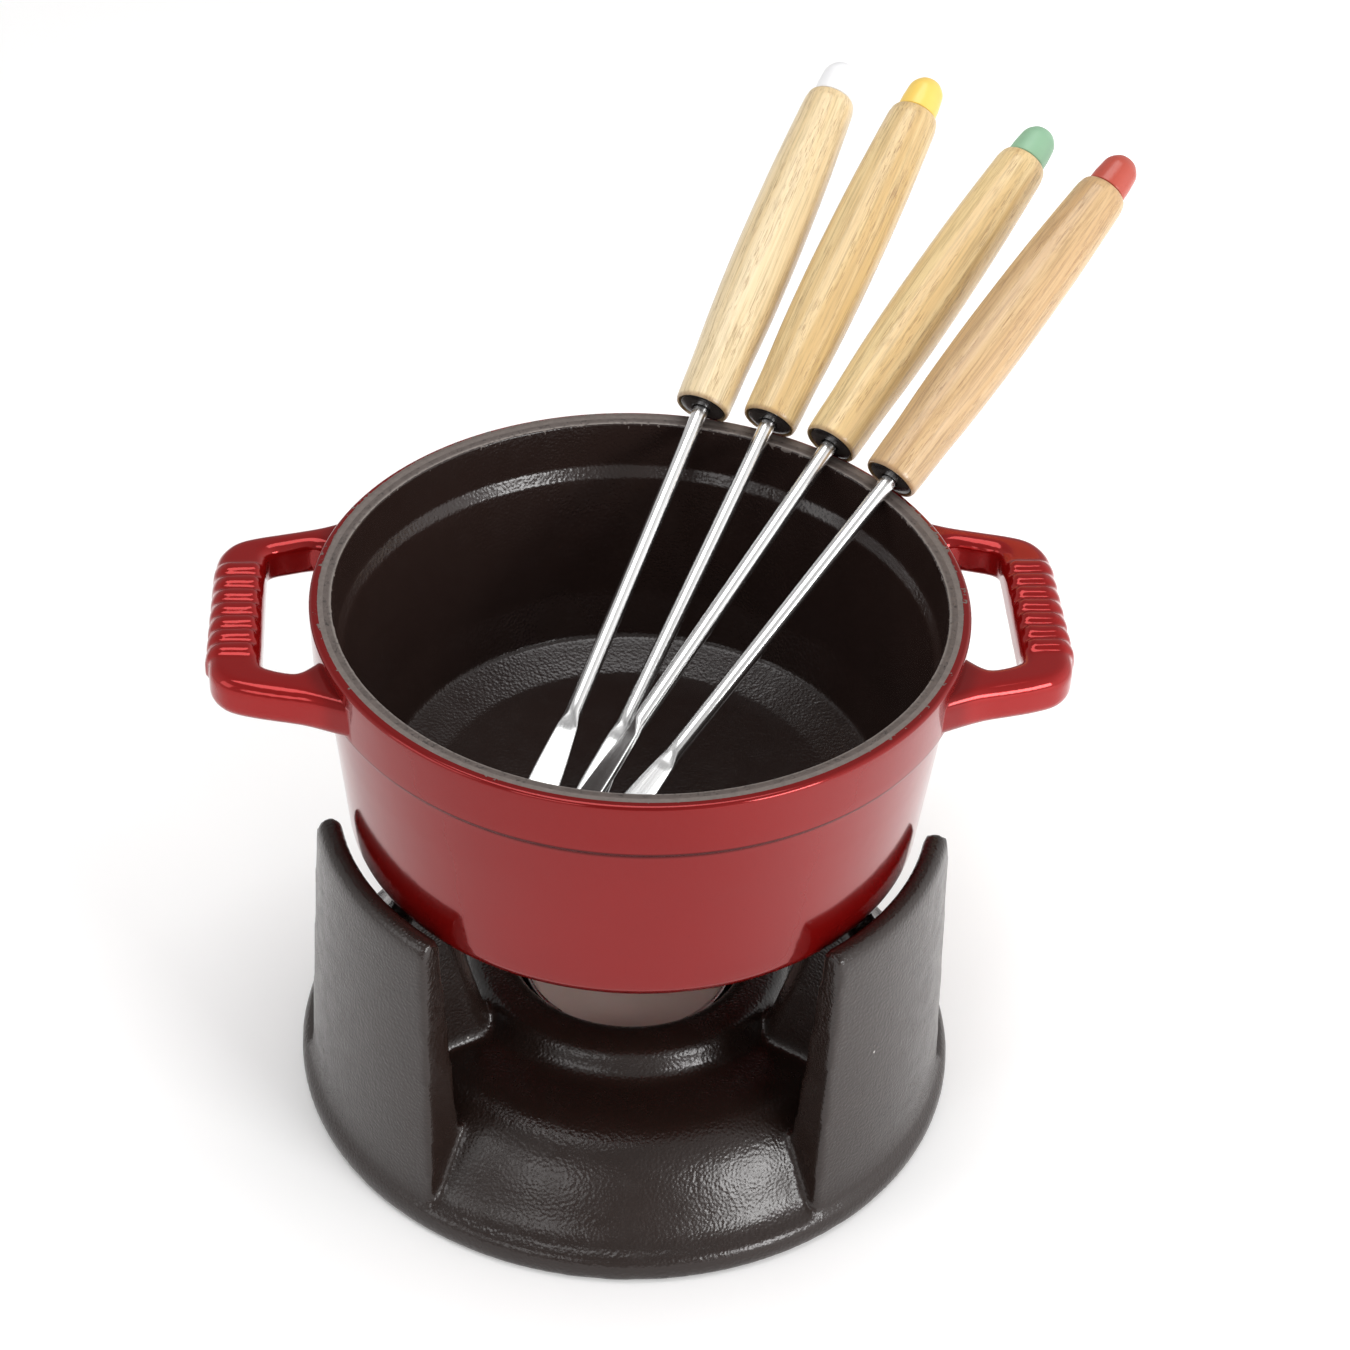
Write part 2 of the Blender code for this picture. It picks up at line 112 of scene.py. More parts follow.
def make_studio():
    """A white world that is brighter at its sides, most of all at the right, and four softboxes."""
    SCENE.view_settings.view_transform = "Standard"
    world = bpy.data.worlds.new("studio")
    world.use_nodes = True
    tree = world.node_tree
    back = tree.nodes["Background"]
    ways = tree.nodes.new("ShaderNodeTexCoord")
    parts = tree.nodes.new("ShaderNodeSeparateXYZ")
    square = tree.nodes.new("ShaderNodeMath")
    square.operation = "MULTIPLY"
    sides = tree.nodes.new("ShaderNodeMath")
    sides.operation = "MULTIPLY_ADD"
    sides.inputs[1].default_value = WORLD_SIDES
    sides.inputs[2].default_value = WORLD_BASE
    tilt = tree.nodes.new("ShaderNodeMath")
    tilt.operation = "MULTIPLY_ADD"
    tilt.inputs[1].default_value = WORLD_TILT
    tree.links.new(ways.outputs["Generated"], parts.inputs[0])
    tree.links.new(parts.outputs[0], square.inputs[0])
    tree.links.new(parts.outputs[0], square.inputs[1])
    tree.links.new(square.outputs[0], sides.inputs[0])
    tree.links.new(parts.outputs[0], tilt.inputs[0])
    tree.links.new(sides.outputs[0], tilt.inputs[2])
    tree.links.new(tilt.outputs[0], back.inputs["Strength"])
    back.inputs["Color"].default_value = (1.0, 0.99, 0.985, 1.0)
    SCENE.world = world
    for name, (place, aim_height, size, power) in SOFTBOXES.items():
        area_light(name, place, aim_height, size, power)


def make_floor():
    """White paper that gives off a little light, more of it on the right."""
    work = bmesh.new()
    bmesh.ops.create_grid(work, x_segments=24, y_segments=24, size=FLOOR_SIZE)
    data = bpy.data.meshes.new("floor")
    work.to_mesh(data)
    work.free()
    floor = bpy.data.objects.new("floor", data)
    SCENE.collection.objects.link(floor)
    look = Look("floor_paper", (0.98, 0.98, 0.98), 0.0, 0.9)
    x, _, _ = look.axes()
    look.set("Emission Color", (1.0, 1.0, 1.0, 1.0))
    look.set("Emission Strength", look.span(x, 0.03, 0.15, 0.06, 0.42))
    data.materials.append(look.material)


# ---------------------------------------------------------------- materials

class Look:
    """One procedural material around a Principled shader. Coordinates are the object's own, in metres."""

    def __init__(self, name, colour, metallic, roughness, **sockets):
        self.material = bpy.data.materials.new(name)
        self.material.use_nodes = True
        self.tree = self.material.node_tree
        self.shader = self.tree.nodes["Principled BSDF"]
        self.set("Base Color", (*colour, 1.0))
        self.set("Metallic", metallic)
        self.set("Roughness", roughness)
        for socket, value in sockets.items():
            self.set(socket.replace("_", " "), value)
        self.place = self.add("ShaderNodeTexCoord").outputs["Object"]

    def set(self, socket, value):
        """Sets a shader socket to a number or colour, or links it to a node's output."""
        target = self.shader.inputs[socket]
        if isinstance(value, bpy.types.NodeSocket):
            self.tree.links.new(value, target)
        else:
            target.default_value = value

    def add(self, kind, inputs=None, **settings):
        made = self.tree.nodes.new(kind)
        for key, value in settings.items():
            setattr(made, key, value)
        for key, value in (inputs or {}).items():
            if isinstance(value, bpy.types.NodeSocket):
                self.tree.links.new(value, made.inputs[key])
            else:
                made.inputs[key].default_value = value
        return made

    def stretched(self, scale, place=(0.0, 0.0, 0.0)):
        inputs = {"Vector": self.place, "Scale": scale, "Location": place}
        return self.add("ShaderNodeMapping", inputs).outputs["Vector"]

    def noise(self, scale, detail=3.0, roughness=0.5, vector=None, distortion=0.0):
        inputs = {
            "Vector": vector or self.place,
            "Scale": scale,
            "Detail": detail,
            "Roughness": roughness,
            "Distortion": distortion,
        }
        return self.add("ShaderNodeTexNoise", inputs).outputs["Fac"]

    def cells(self, scale, feature="F1"):
        inputs = {"Vector": self.place, "Scale": scale}
        return self.add("ShaderNodeTexVoronoi", inputs, feature=feature).outputs["Distance"]

    def math(self, operation, first, second=0.0):
        return self.add("ShaderNodeMath", {0: first, 1: second}, operation=operation).outputs[0]

    def span(self, value, low, high, to_low=0.0, to_high=1.0):
        """A clamped, smooth change from to_low to to_high as value goes from low to high."""
        inputs = {"Value": value, 1: low, 2: high, 3: to_low, 4: to_high}
        made = self.add("ShaderNodeMapRange", inputs, interpolation_type="SMOOTHSTEP")
        return made.outputs["Result"]

    def mix(self, share, first, second):
        """The first colour where share is 0, the second where it is 1."""
        made = self.add("ShaderNodeMix", data_type="RGBA")
        for index, value in ((0, share), (6, first), (7, second)):
            if isinstance(value, bpy.types.NodeSocket):
                self.tree.links.new(value, made.inputs[index])
            else:
                made.inputs[index].default_value = value if index == 0 else (*value, 1.0)
        return made.outputs[2]

    def bump(self, height, distance, strength=1.0, below=None):
        inputs = {"Height": height, "Distance": distance, "Strength": strength}
        if below is not None:
            inputs["Normal"] = below
        return self.add("ShaderNodeBump", inputs).outputs["Normal"]

    def axes(self):
        made = self.add("ShaderNodeSeparateXYZ", {0: self.place})
        return made.outputs[0], made.outputs[1], made.outputs[2]

    def radius(self):
        """The distance from the object's Z axis."""
        x, y, _ = self.axes()
        squares = self.math("ADD", self.math("MULTIPLY", x, x), self.math("MULTIPLY", y, y))
        return self.math("SQRT", squares)


def rim_wear(look, base_colour, base_roughness, inside, on_top):
    """Bare iron shows through where inside, a distance, is above zero, along a nicked, uneven line."""
    ragged = look.math("SUBTRACT", look.noise(420.0, 4.0, 0.65), 0.5)
    nicks = look.span(look.noise(700.0, 4.0, 0.6), 0.56, 0.68, 0.0, 0.0010)
    level = look.math("ADD", inside, look.math("MULTIPLY", ragged, 0.0006))
    level = look.math("ADD", level, nicks)
    share = look.math("MULTIPLY", look.span(level, 0.0, 0.00012), on_top)
    iron = look.mix(look.noise(900.0, 5.0, 0.7), (0.075, 0.058, 0.050), (0.185, 0.155, 0.140))
    look.set("Base Color", look.mix(share, base_colour, iron))
    look.set("Roughness", look.math("ADD", base_roughness, look.math("MULTIPLY", share, 0.38)))
    return share


RED_DEPTH = 0.5
RED_COAT = 0.26


def red_enamel():
    """Glossy red enamel, whose metallic share gives it depth, with bare iron inside the rim's edge."""
    look = Look("enamel_cherry_red", (0.3, 0.010, 0.010), RED_DEPTH, 0.12, Coat_Roughness=0.03)
    look.set("Specular IOR Level", 0.3)
    _, y, z = look.axes()
    cloud = look.noise(28.0, 3.0, 0.5)
    base = look.mix(cloud, (0.190, 0.0030, 0.0030), (0.230, 0.0046, 0.0042))
    # Painted light: the handles get a lighter red than the same enamel on the bowl.
    handle_painted_light = look.span(look.radius(), 0.0565, 0.0590)
    base = look.mix(handle_painted_light, base, (0.29, 0.0065, 0.0062))
    fleck = look.span(look.noise(1500.0, 2.0), 0.66, 0.74)
    base = look.mix(look.math("MULTIPLY", fleck, 0.2), base, (0.15, 0.003, 0.004))
    # Painted shade: a dark red line in the groove below the rim band.
    groove_foot = look.span(z, 0.0912, 0.0919)
    groove_top = look.span(z, 0.0941, 0.0937)
    groove_shade = look.math("MULTIPLY", groove_foot, groove_top)
    base = look.mix(look.math("MULTIPLY", groove_shade, 0.9), base, (0.050, 0.0006, 0.0008))
    # Painted shade: darker red towards the bowl's bottom edge, above the stand.
    foot = look.span(z, 0.0574, 0.0592, 0.55, 0.0)
    base = look.mix(foot, base, (0.10, 0.0012, 0.0018))
    on_top = look.span(z, 0.1025, 0.1028)
    edge = look.math("SUBTRACT", look.span(y, -0.055, 0.055, 0.0533, 0.0547), look.radius())
    share = rim_wear(look, base, 0.11, edge, on_top)
    look.set("Metallic", look.span(share, 0.0, 1.0, RED_DEPTH, 0.15))
    # This mask takes in the painted groove shade as well as bare iron; the coat is thinned there too.
    bare = look.math("MAXIMUM", share, look.math("MULTIPLY", groove_shade, 0.8))
    look.set("Coat Weight", look.span(bare, 0.0, 0.8, RED_COAT, 0.0))
    peel = look.noise(330.0, 2.0, 0.45)
    sag = look.noise(45.0, 2.0, 0.5)
    normal = look.bump(sag, 0.00035, 0.5)
    normal = look.bump(peel, 0.00002, 0.8, normal)
    normal = look.bump(look.math("SUBTRACT", 1.0, share), 0.00018, 1.0, normal)
    look.set("Normal", normal)
    return look.material


def black_interior():
    """Matte black enamel with a fine pebble, worn to bare iron at the rim."""
    look = Look("enamel_matte_black", (0.014, 0.009, 0.008), 0.0, 0.3)
    tint = look.mix(look.noise(60.0, 4.0), (0.0180, 0.0100, 0.0082), (0.0250, 0.0145, 0.0122))
    rough = look.span(look.noise(240.0, 3.0), 0.3, 0.7, 0.17, 0.24)
    _, _, z = look.axes()
    rim_wear(look, tint, rough, look.math("SUBTRACT", z, 0.1034), 1.0)
    pebble = look.cells(1900.0, feature="SMOOTH_F1")
    fine = look.noise(1500.0, 3.0, 0.6)
    normal = look.bump(look.noise(160.0, 2.0), 0.00006, 0.5)
    normal = look.bump(pebble, 0.00006, 1.0, normal)
    normal = look.bump(fine, 0.00004, 0.8, normal)
    look.set("Normal", normal)
    return look.material


def bare_rim():
    """Ground iron, mottled and pitted, palest along its inner edge."""
    look = Look("iron_bare_rim", (0.09, 0.07, 0.06), 0.15, 0.45)
    mottled = look.mix(look.noise(520.0, 6.0, 0.7), (0.040, 0.030, 0.026), (0.150, 0.120, 0.108))
    edge = look.span(look.radius(), 0.0522, 0.0516, 0.0, 0.8)
    pale = look.mix(edge, mottled, (0.26, 0.23, 0.21))
    pits = look.span(look.noise(1500.0, 4.0, 0.65), 0.54, 0.68)
    look.set("Base Color", look.mix(look.math("MULTIPLY", pits, 0.7), pale, (0.018, 0.013, 0.012)))
    look.set("Roughness", look.span(look.noise(700.0, 3.0), 0.3, 0.7, 0.38, 0.60))
    normal = look.bump(look.noise(800.0, 5.0, 0.65), 0.00018, 0.8)
    look.set("Normal", look.bump(look.math("SUBTRACT", 1.0, pits), 0.0001, 0.7, normal))
    return look.material


def stand_enamel():
    """Brownish black enamel with a fine pebble and a few pale specks."""
    look = Look("stand_black_brown_enamel", (0.018, 0.012, 0.010), 0.0, 0.4)
    tint = look.mix(look.noise(45.0, 5.0, 0.6), (0.0135, 0.0075, 0.0058), (0.0205, 0.0118, 0.0093))
    speck = look.span(look.cells(125.0), 0.035, 0.022)
    few = look.span(look.noise(70.0, 1.0), 0.62, 0.66)
    speck = look.math("MULTIPLY", speck, few)
    look.set("Base Color", look.mix(speck, tint, (0.55, 0.53, 0.50)))
    look.set("Roughness", look.span(look.noise(300.0, 3.0), 0.3, 0.7, 0.20, 0.28))
    normal = look.bump(look.noise(150.0, 2.0, 0.5), 0.00003, 0.5)
    normal = look.bump(look.cells(1900.0, feature="SMOOTH_F1"), 0.00007, 1.0, normal)
    normal = look.bump(look.noise(2600.0, 3.0, 0.6), 0.00003, 0.8, normal)
    look.set("Normal", normal)
    return look.material


def fork_steel():
    """Polished steel with faint lines along the shaft, which runs along Z."""
    look = Look("steel_polished", (0.82, 0.82, 0.82), 1.0, 0.2)
    lines = look.noise(1.0, 3.0, 0.5, look.stretched((2600.0, 2600.0, 6.0)))
    look.set("Base Color", look.mix(lines, (0.74, 0.74, 0.74), (0.95, 0.95, 0.95)))
    look.set("Roughness", look.span(lines, 0.3, 0.7, 0.16, 0.26))
    return look.material


def fork_wood(name, shift, pale, warm):
    """Lacquered blonde wood: long soft bands with brown pores along the grain, which runs along Z."""
    look = Look(f"wood_{name}", pale, 0.0, 0.38, Coat_Weight=0.35, Coat_Roughness=0.16)
    _, _, z = look.axes()
    offset = (shift, shift * 0.7, shift * 1.9)
    bands = look.noise(1.0, 3.0, 0.5, look.stretched((330.0, 330.0, 9.0), offset), 0.4)
    fibres = look.noise(1.0, 5.0, 0.68, look.stretched((2400.0, 2400.0, 45.0), offset))
    base = look.mix(look.span(bands, 0.32, 0.68), pale, warm)
    dark = tuple(channel * 0.66 for channel in warm)
    base = look.mix(look.span(fibres, 0.42, 0.70, 0.0, 0.80), base, dark)
    dashes = look.noise(1.0, 2.0, 0.5, look.stretched((6400.0, 6400.0, 300.0), offset))
    patches = look.noise(1.0, 2.0, 0.5, look.stretched((600.0, 600.0, 40.0), offset))
    patches = look.span(patches, 0.42, 0.60)
    pores = look.math("MULTIPLY", look.span(dashes, 0.57, 0.64), patches)
    base = look.mix(look.math("MULTIPLY", pores, 0.5), base, (0.26, 0.12, 0.045))
    ends = look.span(z, 0.0011, 0.0003, 0.0, 0.6)
    base = look.mix(ends, base, (0.24, 0.12, 0.05))
    far_end = look.span(z, 0.0665, 0.0690, 0.0, 0.35)
    look.set("Base Color", look.mix(far_end, base, warm))
    normal = look.bump(fibres, 0.00006, 0.4)
    look.set("Normal", look.bump(look.math("SUBTRACT", 1.0, pores), 0.00010, 0.6, normal))
    return look.material


def plastic(name, colour, roughness):
    look = Look(name, colour, 0.0, roughness)
    darker = tuple(channel * 0.86 for channel in colour)
    look.set("Base Color", look.mix(look.noise(160.0, 3.0), darker, colour))
    look.set("Normal", look.bump(look.noise(900.0, 3.0), 0.00002, 0.6))
    return look.material


def cup_foil():
    # The foil is given a dark, faintly warm colour: painted shade, as the cup sits under the pot, and a
    # painted reflection of the pot's red.
    look = Look("foil_aluminium", (0.62, 0.60, 0.59), 1.0, 0.28)
    look.set("Roughness", look.span(look.noise(400.0, 3.0), 0.3, 0.7, 0.22, 0.38))
    look.set("Normal", look.bump(look.noise(260.0, 4.0, 0.6), 0.00015, 0.6))
    return look.material


def wax():
    # The wax is given a dark, warm colour in place of white: painted shade, as it lies under the pot, and
    # painted red light bounced down from the pot.
    look = Look("wax_paraffin", (0.60, 0.47, 0.42), 0.0, 0.42, Subsurface_Weight=0.25)
    look.set("Subsurface Scale", 0.004)
    look.set("Base Color", look.mix(look.noise(120.0, 3.0), (0.54, 0.41, 0.36), (0.64, 0.52, 0.47)))
    look.set("Normal", look.bump(look.noise(200.0, 4.0), 0.0002, 0.6))
    return look.material


def wick_cotton():
    look = Look("wick_waxed_cotton", (0.72, 0.67, 0.58), 0.0, 0.85)
    plait = look.noise(1.0, 2.0, 0.5, look.stretched((2600.0, 2600.0, 1500.0)))
    look.set("Base Color", look.mix(plait, (0.50, 0.44, 0.36), (0.82, 0.78, 0.70)))
    look.set("Normal", look.bump(plait, 0.0002, 0.9))
    return look.material


def sustainer_steel():
    look = Look("sustainer_tinned", (0.62, 0.62, 0.63), 1.0, 0.34)
    look.set("Roughness", look.span(look.noise(700.0, 3.0), 0.3, 0.7, 0.26, 0.42))
    look.set("Normal", look.bump(look.noise(900.0, 3.0), 0.00005, 0.6))
    return look.material


# ---------------------------------------------------------------- mesh helpers

def object_from(name, points, faces, matrix=None):
    """A mesh object from points in millimetres, faces turned out, shaded smooth."""
    work = bmesh.new()
    corners = [work.verts.new(Vector(point) * MM) for point in points]
    for face in faces:
        work.faces.new([corners[index] for index in face])
    bmesh.ops.recalc_face_normals(work, faces=work.faces)
    data = bpy.data.meshes.new(name)
    work.to_mesh(data)
    work.free()
    data.polygons.foreach_set("use_smooth", [True] * len(data.polygons))
    made = bpy.data.objects.new(name, data)
    SCENE.collection.objects.link(made)
    if matrix is not None:
        made.matrix_world = matrix
    return made


def revolve(name, profile, segments, closed=False, wobble=None, matrix=None):
    """Turns (radius, height) points round Z. wobble(turn, radius, height) gives a changed radius."""
    points = []
    rings = []
    for radius, height in profile:
        if radius < 1e-6:
            rings.append([len(points)] * segments)
            points.append((0.0, 0.0, height))
            continue
        rings.append(list(range(len(points), len(points) + segments)))
        for step in range(segments):
            turn = 2.0 * math.pi * step / segments
            reach = wobble(turn, radius, height) if wobble else radius
            points.append((reach * math.cos(turn), reach * math.sin(turn), height))
    faces = []
    for index in range(len(rings) if closed else len(rings) - 1):
        lower = rings[index]
        upper = rings[(index + 1) % len(rings)]
        for step in range(segments):
            follow = (step + 1) % segments
            corners = [lower[step], lower[follow], upper[follow], upper[step]]
            # A ring on the axis is one point, so its faces are triangles.
            faces.append([c for place, c in enumerate(corners) if c != corners[place - 1]])
    return object_from(name, points, faces, matrix)


def loft(name, sections, matrix=None):
    """Joins closed sections of equal point count, and closes both ends."""
    count = len(sections[0])
    points = [point for section in sections for point in section]
    faces = [list(range(count)), list(range(len(points) - count, len(points)))]
    for index in range(len(sections) - 1):
        start = index * count
        for step in range(count):
            follow = (step + 1) % count
            faces.append([start + step, start + follow, start + count + follow, start + count + step])
    return object_from(name, points, faces, matrix)


def spline(points, per_span):
    """A smooth curve through the points, which may have any number of coordinates."""
    table = np.array(points, float)
    padded = np.vstack([2 * table[0] - table[1], table, 2 * table[-1] - table[-2]])
    curve = []
    for index in range(len(table) - 1):
        p0, p1, p2, p3 = padded[index : index + 4]
        for step in range(per_span):
            t = step / per_span
            straight = 2 * p1 + (p2 - p0) * t
            bend = (2 * p0 - 5 * p1 + 4 * p2 - p3) * t**2
            curve.append(0.5 * (straight + bend + (3 * p1 - p0 - 3 * p2 + p3) * t**3))
    curve.append(table[-1])
    return [tuple(row) for row in curve]


def rounded(corners, step_angle=9.0, longest=None):
    """A polyline round (x, y, fillet radius) corners, with steps no longer than longest."""
    line = []
    for index, (x, y, radius) in enumerate(corners):
        here = Vector((x, y))
        if radius == 0.0 or index in (0, len(corners) - 1):
            line.append(here)
            continue
        back = Vector(corners[index - 1][:2]) - here
        ahead = Vector(corners[index + 1][:2]) - here
        reach_limit = 0.49 * min(back.length, ahead.length)
        back.normalize()
        ahead.normalize()
        half = 0.5 * back.angle(ahead)
        reach = min(radius / math.tan(half), reach_limit)
        radius = reach * math.tan(half)
        centre = here + (back + ahead).normalized() * (radius / math.sin(half))
        first = here + back * reach - centre
        last = here + ahead * reach - centre
        sweep = first.angle_signed(last)
        count = max(2, math.ceil(abs(math.degrees(sweep)) / step_angle))
        for step in range(count + 1):
            line.append(centre + Matrix.Rotation(-sweep * step / count, 2) @ first)
    if longest is None:
        return [tuple(point) for point in line]
    dense = []
    for first, second in zip(line, line[1:]):
        count = max(1, math.ceil((second - first).length / longest))
        dense += [tuple(first.lerp(second, step / count)) for step in range(count)]
    dense.append(tuple(line[-1]))
    return dense


def bake_modifiers(obj):
    """Replaces the object's mesh with what its modifiers make of it."""
    bpy.context.view_layer.update()
    graph = bpy.context.evaluated_depsgraph_get()
    result = bpy.data.meshes.new_from_object(obj.evaluated_get(graph))
    obj.modifiers.clear()
    obj.data = result


def combine(base, others, operation):
    """Joins the other solids to base, or cuts them out of it, and removes them."""
    for other in others:
        cut = base.modifiers.new(operation.lower(), "BOOLEAN")
        cut.operation = operation
        cut.solver = "EXACT"
        cut.object = other
    bake_modifiers(base)
    for other in others:
        bpy.data.objects.remove(other, do_unlink=True)


def melt(obj, voxel, rounds):
    """Rebuilds a solid as one even skin and softens it, as casting and enamel do."""
    skin = obj.modifiers.new("skin", "REMESH")
    skin.mode = "VOXEL"
    skin.voxel_size = voxel * MM
    skin.use_smooth_shade = True
    soften = obj.modifiers.new("soften", "SMOOTH")
    soften.factor = 0.5
    soften.iterations = rounds
    bake_modifiers(obj)


def smooth_shade(obj, angle):
    """Smooth shading, except at edges that turn by more than angle."""
    obj.data.polygons.foreach_set("use_smooth", [True] * len(obj.data.polygons))
    obj.data.set_sharp_from_angle(angle=math.radians(angle))


def finish_piece(obj, materials, body, node):
    """Gives the piece its materials, and puts it on its body in place of the part's own node."""
    obj.data.materials.clear()
    for material in materials:
        obj.data.materials.append(material)
    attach(obj, body)
    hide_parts(node)


# ---------------------------------------------------------------- stand

# (radius, height) points: up the recess, over the lip and the dome, down to the foot ring.
STAND_TOP = [
    (20.3, 5.9), (20.6, 14.0), (20.9, 22.6), (21.4, 24.0), (22.8, 25.0), (25.6, 25.1), (28.0, 24.7),
    (29.4, 23.6), (30.1, 22.0), (31.2, 20.8), (33.2, 20.3), (38.0, 20.4), (42.0, 20.0), (45.5, 18.6),
    (48.6, 16.2), (51.4, 12.9), (53.6, 9.7), (55.4, 7.2), (57.3, 5.5), (58.8, 4.9), (59.6, 4.0),
    (59.9, 2.6), (59.8, 0.7), (59.2, 0.0),
]
# The hollow under the dome, from the foot ring in to the flat middle.
STAND_UNDER = [
    (55.2, 0.0), (54.4, 0.9), (53.9, 3.2), (51.0, 7.0), (48.3, 10.6), (45.0, 13.5), (41.0, 15.1),
    (36.0, 15.6), (29.0, 15.4), (26.2, 14.0), (25.0, 11.5), (24.6, 1.0), (23.8, 0.0),
]
RECESS_FLOOR = 5.5
WALL_TOP = 62.0
WALL_HALF_ANGLE = 20.2
WALL_DRAFT_PER_MM = 0.055
WALL_SPANS = 26
RIB_TOP = 57.0


def stand_wall(index, centre):
    """A curved wall, whose ends lean apart towards its foot."""
    top = WALL_TOP + 0.05
    section = rounded(
        [
            (48.9, 12.9, 0.0), (57.0, 3.6, 0.0), (58.7, 4.0, 0.0), (58.25, 6.0, 1.0), (57.9, 9.0, 4.0),
            (57.2, 28.0, 10.0), (56.0, WALL_TOP - 4.0, 6.0), (55.6, top, 2.1), (51.5, top, 2.0),
            (51.3, WALL_TOP - 4.0, 4.0), (50.2, 34.0, 8.0), (49.3, 18.0, 2.0), (48.9, 12.9, 0.0),
        ],
        15.0,
    )[:-1]
    sections = []
    for place in range(WALL_SPANS + 1):
        station = 2.0 * place / WALL_SPANS - 1.0
        ring = []
        for radius, height in section:
            half = WALL_HALF_ANGLE + (WALL_TOP - height) * WALL_DRAFT_PER_MM
            turn = math.radians(centre + station * half)
            ring.append((radius * math.cos(turn), radius * math.sin(turn), height))
        sections.append(ring)
    return loft(f"wall_{index}", sections)


def stand_rib(index, centre):
    """The round-nosed rib inside a wall, whose top steps down near the wall."""
    levels = [(15.0, 0.0), (24.0, 0.0), (34.0, 0.0), (44.0, 0.0)]
    levels += [(RIB_TOP - 1.2, 0.0), (RIB_TOP - 0.35, 0.3), (RIB_TOP, 1.0)]
    arc = [math.radians(a) for a in range(0, 91, 9)]
    outer_ends = (40.0, 43.0, 44.6, 45.6, 46.6, 47.8, 49.2, 51.0, 53.2)
    drops = (0.0, 0.0, 0.3, 1.4, 3.6, 5.2, 5.8, 6.2, 6.5)
    spin = Matrix.Rotation(math.radians(centre), 4, "Z")
    sections = []
    for height, inset in levels:
        tip = 29.2 + 0.28 * (height - 20.0) + inset
        half = 4.4 - 0.018 * (height - 20.0) - inset
        outline = [(tip + half * (1.0 - math.cos(a)), half * math.sin(a), 0.0) for a in arc]
        outline += [(end, half, drop) for end, drop in zip(outer_ends, drops)]
        ring = []
        mirrored = [(r, -v, d) for r, v, d in reversed(outline) if v > 1e-6]
        for radius, across, drop in outline + mirrored:
            lowered = height - drop if height > 50.0 else height
            ring.append(tuple(spin @ Vector((radius, across, lowered))))
        sections.append(ring)
    return loft(f"rib_{index}", sections)


def make_stand():
    profile = [(radius, RECESS_FLOOR) for radius in (0.0, 10.0, 17.0, 19.6)] + spline(STAND_TOP, 3)
    profile += spline(STAND_UNDER, 3) + [(12.0, 0.0), (0.0, 0.0)]
    stand = revolve("cast_stand", profile, 180)
    pieces = []
    for index, centre in enumerate(WALL_CENTRES):
        pieces += [stand_wall(index, centre), stand_rib(index, centre)]
    combine(stand, pieces, "UNION")
    melt(stand, 0.68, 10)
    finish_piece(stand, [stand_enamel()], "stand", "stand")


# ---------------------------------------------------------------- pot

# Along a handle's bar, seen from above: (x, y) of its inner edge and of its outer edge.
HANDLE_STATIONS = [
    ((50.7, 16.2), (45.6, 28.0)), ((53.0, 17.9), (49.8, 26.0)), ((55.6, 18.6), (54.0, 24.2)),
    ((59.6, 17.5), (60.6, 22.5)), ((61.8, 16.8), (65.2, 21.2)), ((62.7, 16.0), (68.9, 19.4)),
    ((63.1, 14.8), (71.0, 16.4)), ((63.1, 12.4), (71.7, 12.6)), ((63.0, 6.0), (71.7, 6.0)),
    ((62.9, 0.0), (71.6, 0.0)), ((62.8, -6.0), (71.5, -6.0)), ((62.7, -11.6), (71.3, -12.4)),
    ((62.5, -13.4), (70.8, -16.6)), ((62.1, -14.6), (68.6, -19.7)), ((61.1, -15.3), (64.9, -21.4)),
    ((59.0, -16.1), (60.4, -22.6)), ((56.8, -16.4), (55.6, -23.7)), ((54.9, -15.0), (51.6, -25.2)),
    ((52.6, -12.4), (46.6, -27.4)),
]
HANDLE_LOW = 93.8
HANDLE_HIGH = 101.0
HANDLE_CORNER = 2.1

# A grip ridge runs over the bar's outer edge: (distance out, how much it shrinks, how far it sinks).
RIDGE_RUN = (
    (63.7, 0.7, 0.3), (64.1, 0.2, 0.1), (64.8, 0.0, 0.0), (69.4, 0.0, 0.0), (70.3, 0.0, 0.35),
    (71.1, 0.0, 1.0), (71.7, 0.0, 1.9), (72.0, 0.2, 3.0), (72.0, 0.7, 3.9),
)
RIDGE_PITCH = 3.7
RIDGES_EACH_WAY = 3


def bar_section(inner, outer):
    """An upright rectangle with round corners, between two points seen from above."""
    inner = Vector(inner)
    outer = Vector(outer)
    width = (outer - inner).length
    across = (outer - inner) / width
    corner = HANDLE_CORNER
    outline = []
    for x, z, start in (
        (width - corner, HANDLE_LOW + corner, -90.0),
        (width - corner, HANDLE_HIGH - corner, 0.0),
        (corner, HANDLE_HIGH - corner, 90.0),
        (corner, HANDLE_LOW + corner, 180.0),
    ):
        for angle in range(0, 91, 15):
            turn = math.radians(start + angle)
            outline.append((x + corner * math.cos(turn), z + corner * math.sin(turn)))
    return [(*(inner + across * x), z) for x, z in outline]


